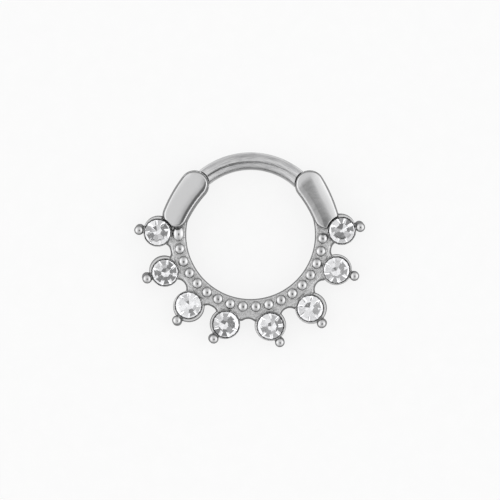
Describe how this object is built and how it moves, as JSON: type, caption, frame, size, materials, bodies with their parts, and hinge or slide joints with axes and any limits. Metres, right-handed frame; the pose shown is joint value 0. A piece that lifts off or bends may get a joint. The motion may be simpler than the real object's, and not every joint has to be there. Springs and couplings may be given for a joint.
{
  "type": "daith clicker ring",
  "caption": "Small hinged hoop for a daith piercing: beaded band, round cut stones in cups with ball-tipped prongs, slotted shoulders and a curved wire bar that clicks shut.",
  "frame": {"origin": "centre of the hoop's opening, on the plane of the flat back", "axes": "+Z out of the front, where the stones face; +Y from the opening's centre to the middle of the bar; +X to the wearer's view of the right, the latch side"},
  "size_m": [0.0157, 0.0133, 0.002],
  "materials": {
    "cast_metal": "bright silver-coloured cast metal, polished, with a fine grain in the recesses",
    "wire": "polished surgical steel wire with fine lengthwise polishing lines",
    "crystal": "clear cut glass over a bright foil back"
  },
  "bodies": {
    "hoop": {"hoop": "cast_metal", "hinge_pin": "wire", "stone_1": "crystal", "stone_2": "crystal", "stone_3": "crystal", "stone_4": "crystal", "stone_5": "crystal", "stone_6": "crystal", "stone_7": "crystal", "stone_8": "crystal"},
    "bar": {"bar": "wire"}
  },
  "joints": [
    {"name": "bar_hinge", "type": "hinge", "parent": "hoop", "child": "bar", "pos_m": [-0.00383, 0.00339, 0.001], "axis": [0, 0, 1], "range_deg": [0, 80]}
  ]
}
